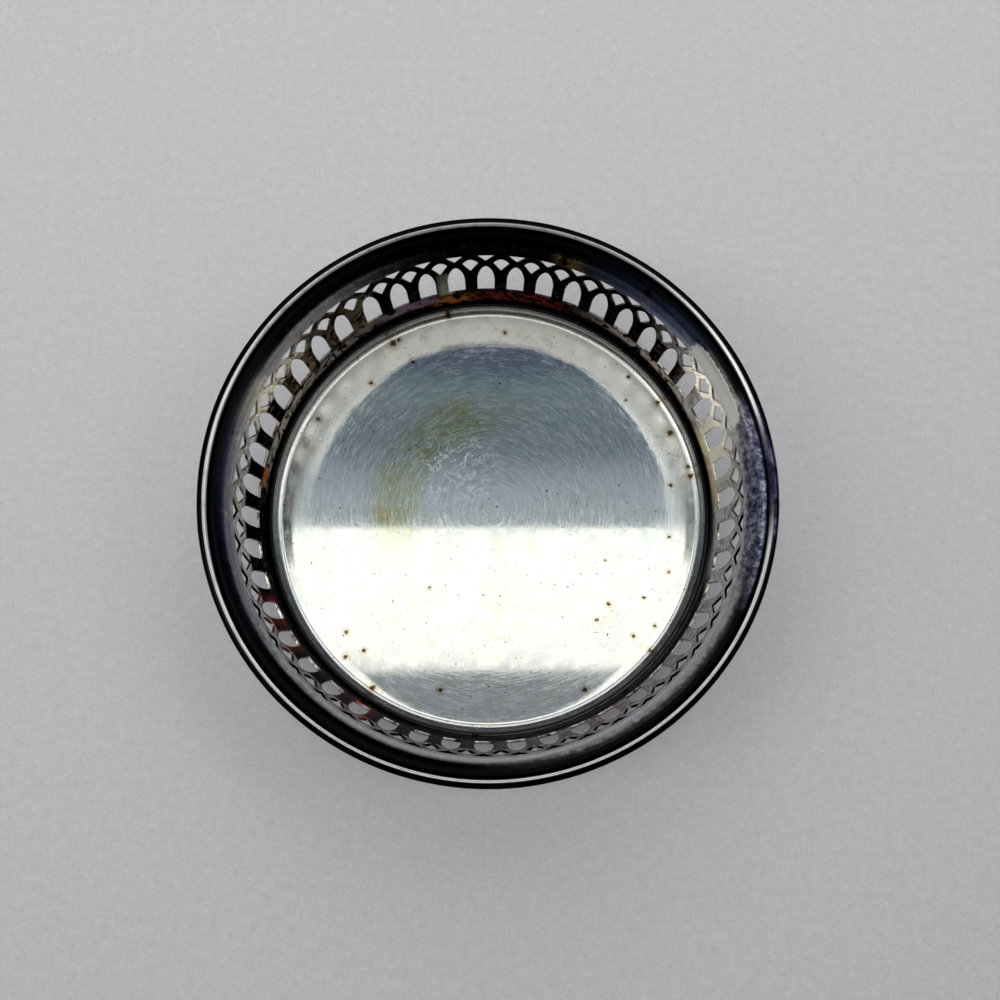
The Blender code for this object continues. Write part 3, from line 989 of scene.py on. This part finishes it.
# %% Polished silver for the pan
PITS = ((-15, -20, 0.45), (-35.5, -31, 0.55), (-31, -35.5, 0.55), (-28.5, -44.5, 0.80), (-35.5, -37, 0.6),
        (-12, -45, 0.70), (23.5, -45, 0.65), (40, -35.5, 0.60), (36, -32, 0.50), (41.5, -29.5, 0.50),
        (45.5, -16, 0.50), (46, -7, 0.45), (39, -22.5, 0.50), (30, -24, 0.55), (27, -28, 0.40),
        (29.5, -13, 0.35), (43, -23, 0.30), (4, 48.5, 0.60), (-26, 45.3, 1.15), (-24.5, 46.2, 0.7),
        (-11.3, 53, 0.80), (-31.5, 34, 0.65), (-20.5, 40, 0.45), (-45, 24, 0.55), (52.3, 9, 0.8),
        (51.8, 11.5, 0.6), (47.5, 20.5, 0.9), (44.5, 29, 0.75), (37, 36, 0.55), (47, 6.5, 0.55),
        (36, 29.5, 0.35))
# Each set of scratches: direction in degrees, how slowly it changes along, how fast across, threshold.
SCRATCHES = ((25, 210, 5200, 0.70), (112, 180, 5600, 0.70), (71, 240, 5000, 0.71))
SCRATCH_EDGE = 0.07
HAZE_AND_REFLECTION_FROM, HAZE_AND_REFLECTION_FULL = 45.7 * MM, 48.1 * MM
HAZE_AND_REFLECTION_SIDE, HAZE_AND_REFLECTION_FAR_EDGE, STAIN_SIDE, YELLOW_SIDE = (86, 108), (90, 34), (140, 85), (290, 120)
STAIN_RADIUS = 24.5 * MM
RINGS_X, RINGS_Y = -9 * MM, 10 * MM


def pit_marks():
    """1 in each of the listed pits, with ragged borders, and 1 in the brown stain round each."""
    ragged = times(less(noise(1900, 3, 0.6), 0.5), 1.5 * MM)
    pits = halo = 0.0
    for across, along, size in PITS:
        away = length(less(X, across * MM), less(Y, along * MM))
        away = plus(away, ragged)
        pits = highest(fall(away, size * 0.5 * MM, size * 1.1 * MM), pits)
        halo = highest(fall(away, size * 0.9 * MM, size * 2.6 * MM), halo)
    return pits, halo


def scratches(degrees, along, across, threshold):
    """Thin straight lines in one direction, where a stretched noise is highest."""
    cosine, sine = math.cos(math.radians(degrees)), math.sin(math.radians(degrees))
    run = plus(times(X, cosine), times(Y, sine))
    side = less(times(X, sine), times(Y, cosine))
    place = join(times(run, along), times(side, across), 0.0)
    return ramp(noise(1.0, 2, 0.4, place), threshold, threshold + SCRATCH_EDGE)


def water_rings():
    """Thin closed lines near the middle, where a noise crosses one value."""
    lines = near(noise(430, 2, 0.5, distortion=0.3), 0.57, 0.008, 0.045)
    return times(lines, near(X, RINGS_X, 4 * MM, 15 * MM), near(Y, RINGS_Y, 4 * MM, 14 * MM))


def polished_silver():
    start_finish("polished_silver")
    radius = from_axis()
    cove = ramp(Z, FLOOR_TOP + 0.012 * MM, FLOOR_TOP + 0.05 * MM)
    # Painted shade: a dark line at the top of the pan, where it meets the gallery.
    painted_joint_shade = ramp(Z, PAN_HIGH[2] - 0.45 * MM, PAN_HIGH[2] - 0.2 * MM)
    wavy = linear(noise(110, 5, 0.65), 3 * MM, radius)
    # The cloudy white border is partly a painted reflection: a pale, duller ring where the floor would
    # mirror bright light.
    haze_and_painted_reflection = times(linear(facing(*HAZE_AND_REFLECTION_SIDE), 0.97, 0.03),
                 ramp(wavy, HAZE_AND_REFLECTION_FROM, HAZE_AND_REFLECTION_FULL),
                 ramp(noise(240, 6, 0.7), 0.30, 0.54, 0.72, 1.0), rest(cove))
    cloud = ramp(noise(150, 7, 0.72, distortion=0.5), 0.42, 0.62)
    white = mix(cloud, (0.99, 0.975, 0.89), (0.93, 0.90, 0.79))
    stain_noise = noise(95, 6, 0.68)
    stain = times(near(radius, STAIN_RADIUS, MM, 10 * MM), ramp(stain_noise, 0.26, 0.50),
                  facing(*STAIN_SIDE))
    orange = times(stain, ramp(stain_noise, 0.58, 0.66))
    yellow = ramp(noise(120, 6, 0.7, distortion=0.6), 0.50, 0.68)
    yellow = times(yellow, facing(*YELLOW_SIDE), 0.40)
    pits, halo = pit_marks()
    fine_pits = ramp(noise(1300, 1, 0.3), 0.755, 0.79)
    brown = ramp(noise(700, 4, 0.62), 0.66, 0.72)
    brown = times(brown, ramp(radius, 40 * MM, 50 * MM), 0.7)
    rings = water_rings()
    brushed = ramp(noise(1.0, 4, 0.75, streaks(240, 2300)), 0.44, 0.60)
    grain = noise(1700, 4, 0.8)
    scatter = times(highest(brushed, ramp(grain, 0.54, 0.72)), ramp(grain, 0.38, 0.60, 0.35, 1.0))
    scatter = highest(scatter, *(scratches(*row) for row in SCRATCHES), rings)
    colour = layers(
        (0.64, 0.635, 0.615), (stain, (0.50, 0.47, 0.20)), (orange, (0.58, 0.36, 0.10)),
        (times(cloud, 0.42), (0.46, 0.47, 0.47)), (yellow, (0.66, 0.60, 0.38)), (haze_and_painted_reflection, white),
        (brown, (0.20, 0.12, 0.06)), (times(scatter, 0.62), (0.86, 0.875, 0.89)),
        (times(halo, 0.5), (0.46, 0.34, 0.17)), (highest(pits, fine_pits), (0.055, 0.036, 0.022)),
        (painted_joint_shade, (0.030, 0.028, 0.030)))
    far_edge = facing(*HAZE_AND_REFLECTION_FAR_EDGE)
    metal = linear(rings, -0.35, linear(scatter, -0.15, 1.0))
    metal = plus(metal, times(haze_and_painted_reflection, linear(far_edge, -0.55, -0.38)))
    rough = linear(scatter, 0.06, linear(cloud, 0.04, 0.035))
    rough = plus(rough, times(haze_and_painted_reflection, linear(far_edge, -0.16, 0.36)))
    rough = linear(cove, 0.16, linear(painted_joint_shade, 0.25, rough))
    bump(less(times(scatter, -0.4), pits), 0.003 * MM, 0.25)
    return done(colour, rough, metal)


# %% [markdown]
# ### Wood, brass and baize
#
# The disc is stained hardwood with its grain running straight across and pores along it. The pins are
# plain brass gone dull. Baize is felted wool: its colour is flecked, it has no shine, and its edge
# catches the light, which is what sheen is for.


# %% Wood, brass and baize finishes
def turned_wood():
    start_finish("turned_wood")
    along_grain = join(times(X, 18.0), times(Y, 260.0), times(Z, 260.0))
    grain = noise(1.0, 5, 0.6, along_grain, distortion=0.8)
    pores = ramp(noise(3.2, 3, 0.6, along_grain), 0.60, 0.70)
    colour = colours(grain, (0.30, (0.075, 0.028, 0.014)), (0.55, (0.16, 0.062, 0.030)),
                     (0.75, (0.24, 0.105, 0.052)))
    colour = mix(pores, colour, (0.03, 0.012, 0.008))
    bump(less(grain, pores), 0.05 * MM, 0.5)
    return done(colour, linear(grain, 0.2, 0.36), 0.0)


def pin_brass():
    start_finish("pin_brass")
    age = noise(900, 4, 0.6)
    colour = colours(age, (0.35, (0.20, 0.11, 0.045)), (0.55, (0.50, 0.33, 0.12)),
                     (0.75, (0.66, 0.48, 0.20)))
    bump(noise(2400, 3, 0.5), 0.02 * MM, 0.4)
    return done(colour, linear(age, 0.3, 0.22), 1.0)


def green_baize():
    start_finish("green_baize")
    fleck = noise(2300, 5, 0.7)
    faded = ramp(noise(70, 4, 0.6), 0.35, 0.75)
    colour = colours(fleck, (0.30, (0.012, 0.060, 0.028)), (0.52, (0.028, 0.115, 0.055)),
                     (0.74, (0.075, 0.19, 0.10)))
    colour = mix(times(faded, 0.35), colour, (0.09, 0.15, 0.08))
    bump(plus(fleck, noise(5200, 2, 0.6)), 0.12 * MM, 0.9)
    shader.inputs["Sheen Weight"].default_value = 0.5
    shader.inputs["Sheen Roughness"].default_value = 0.6
    return done(colour, 0.95, 0.0)


# %% [markdown]
# ## Put each piece on the frame
#
# A finished piece takes its finish and rides on the one body, and any solid that it stands for is hidden.


# %% Finish and place the pieces
def on_frame(item, finish, slot, *nodes):
    item.data.materials.clear()
    item.data.materials.append(finish)
    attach(item, "root")
    if nodes:
        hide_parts(*nodes)


tarnish = tarnished_silver()
on_frame(gallery, tarnish, "tarnished_silver", "gallery")
rim_silver = bright_and_tarnished_silver("rim_silver", crown_rub_and_painted_highlight, (0.70, 0.69, 0.67), (0.004, 0.004, 0.005))
on_frame(rim_wire, rim_silver, "rim_silver", "rim_wire")
on_frame(rim_solder, tarnish, "tarnished_silver")
on_frame(pan, polished_silver(), "polished_silver", "floor_pan")
foot_silver = bright_and_tarnished_silver("foot_silver", upper_half, (0.22, 0.20, 0.20), (0.035, 0.030, 0.032))
on_frame(foot_wire, foot_silver, "foot_silver", "foot_wire")
on_frame(pan_solder, tarnish, "tarnished_silver")
on_frame(base_disc, turned_wood(), "turned_wood", "base_disc")
brass = pin_brass()
for number, pin in enumerate(pins, start=1):
    on_frame(pin, brass, "pin_brass", f"base_pin_{number}")
on_frame(baize, green_baize(), "green_baize", "baize_pad")

# %% [markdown]
# ## Table, light and camera
#
# The table is plain pale paper. Polished silver shows what is round it, so the light is set out by
# what the floor and the wall should reflect. A box overhead has its far edge across the floor. A
# brighter box on the left lights the right of the wall, a wide one beyond lights the near side, and
# a small warm one on the right lights the left. Two small boxes lie where only the floor's cloudy
# border mirrors them. Between them the room is dim and bluish.

# %% Lay the table
TABLE_SIZE = 4.0


def table_paper():
    start_finish("table_paper")
    fibre, felt = noise(1300, 5, 0.7), noise(420, 5, 0.6)
    tone = linear(fibre, 0.6, times(felt, 0.4))
    colour = colours(tone, (0.32, (0.67, 0.656, 0.673)), (0.68, (0.835, 0.818, 0.832)))
    bump(plus(fibre, felt), 0.15 * MM, 0.5)
    return done(colour, 0.95, 0.0)


bpy.ops.mesh.primitive_plane_add(size=TABLE_SIZE, location=(0, 0, 0))
table = added("table")
table.data.materials.append(table_paper())

# %% Set the light boxes
BOX_HEIGHT = 0.60
DOWN = Vector((0, 0, -1))
# Each box: from and to in x, from and to in y, brightness, colour.
BOXES = {
    "overhead_box": (-0.25, 0.27, -0.059, 0.088, 1.27, (1.0, 0.99, 0.89)),
    "left_box": (-0.90, -0.29, -0.22, 0.03, 2.9, (1.0, 0.975, 0.93)),
    "far_box": (-0.50, 0.50, 0.305, 0.95, 1.15, (1.0, 1.0, 1.0)),
    "right_box": (0.34, 0.66, -0.10, 0.16, 2.0, (1.0, 0.95, 0.87)),
}
# The two small boxes lie on a circle round the far end of the floor's mirror image.
GLEAM_SIZE = (0.12, 0.26)
GLEAM_Y = 0.107
GLEAM_AWAY = 0.262
GLEAM_TURN = 50
GLEAMS = ((1, 2.8, (1.0, 0.99, 0.95)), (-1, 2.1, (1.0, 0.96, 0.88)))


def light_box(name, middle, size, brightness, colour, turn=0.0):
    """A level box at the height of the others, as bright as a white card at that value."""
    lamp = bpy.data.lights.new(name, "AREA")
    lamp.shape = "RECTANGLE"
    lamp.size, lamp.size_y = size
    lamp.energy = brightness * math.pi * size[0] * size[1]
    lamp.color = colour
    item = bpy.data.objects.new(name, lamp)
    bpy.context.scene.collection.objects.link(item)
    item.location = (*middle, BOX_HEIGHT)
    item.rotation_euler = DOWN.to_track_quat("-Z", "Y").to_euler()
    item.rotation_euler.z += turn


for name, (x_from, x_to, y_from, y_to, brightness, colour) in BOXES.items():
    middle = ((x_from + x_to) / 2, (y_from + y_to) / 2)
    light_box(name, middle, (x_to - x_from, y_to - y_from), brightness, colour)
for side, brightness, colour in GLEAMS:
    turn = math.radians(90 - GLEAM_TURN * side)
    middle = (GLEAM_AWAY * math.cos(turn), GLEAM_Y + GLEAM_AWAY * math.sin(turn))
    light_box(f"gleam_box_{side}", middle, GLEAM_SIZE, brightness, colour, turn)
print(len(BOXES) + len(GLEAMS), "light boxes")

# %% Set the room
# Each stop: how far a direction points beyond the coaster, from -1 to 1, and its colour.
ROOM = ((-1.00, (0.04, 0.04, 0.04)), (-0.60, (0.05, 0.045, 0.045)), (-0.53, (0.10, 0.10, 0.10)),
        (-0.47, (0.34, 0.34, 0.35)), (-0.09, (0.28, 0.30, 0.33)), (0.16, (0.44, 0.52, 0.545)),
        (0.19, (0.42, 0.50, 0.55)), (0.22, (0.33, 0.39, 0.45)), (0.25, (0.18, 0.235, 0.29)),
        (0.28, (0.165, 0.215, 0.265)), (0.33, (0.18, 0.245, 0.265)), (0.355, (0.088, 0.128, 0.178)),
        (0.39, (0.062, 0.088, 0.142)), (0.45, (0.065, 0.09, 0.135)), (1.00, (0.06, 0.07, 0.09)))
LOW_WALLS = {"From Min": 0.10, "From Max": 0.55, "To Min": 0.25}

world = bpy.data.worlds.new("room")
bpy.context.scene.world = world
world.use_nodes = True
tree = world.node_tree
toward = node("ShaderNodeSeparateXYZ", (node("ShaderNodeTexCoord", output="Generated"),)).node.outputs
beyond = node("ShaderNodeMapRange", {"Value": toward[1], "From Min": -1.0})
shade = colours(beyond, *(((position + 1) / 2, colour) for position, colour in ROOM))
strength = node("ShaderNodeMapRange", {"Value": toward[2], **LOW_WALLS})
feed(tree.nodes["Background"].inputs["Color"], shade)
feed(tree.nodes["Background"].inputs["Strength"], strength)

# %% [markdown]
# The camera stands where the photograph was taken from: close above the coaster and a little to the
# near side. Its focal length, height and tilt come from fitting the window sills, the triangles and
# the rim in the photograph.

# %% Set the camera
FOCAL_PIXELS = 750
PICTURE_PIXELS = 1000
SENSOR = 36.0
CLOSEST = 0.005
CAMERA_AT = (0.38 * MM, -34.34 * MM, 196.17 * MM)
CAMERA_TILT, CAMERA_ROLL = math.radians(10.99), math.radians(-0.70)

camera_data = bpy.data.cameras.new("camera")
camera_data.sensor_width = SENSOR
camera_data.lens = SENSOR * FOCAL_PIXELS / PICTURE_PIXELS
camera_data.clip_start = CLOSEST
camera = bpy.data.objects.new("camera", camera_data)
bpy.context.scene.collection.objects.link(camera)
camera.location = CAMERA_AT
camera.rotation_euler = (CAMERA_TILT, CAMERA_ROLL, 0)
bpy.context.scene.camera = camera
bpy.context.scene.view_settings.view_transform = "Standard"
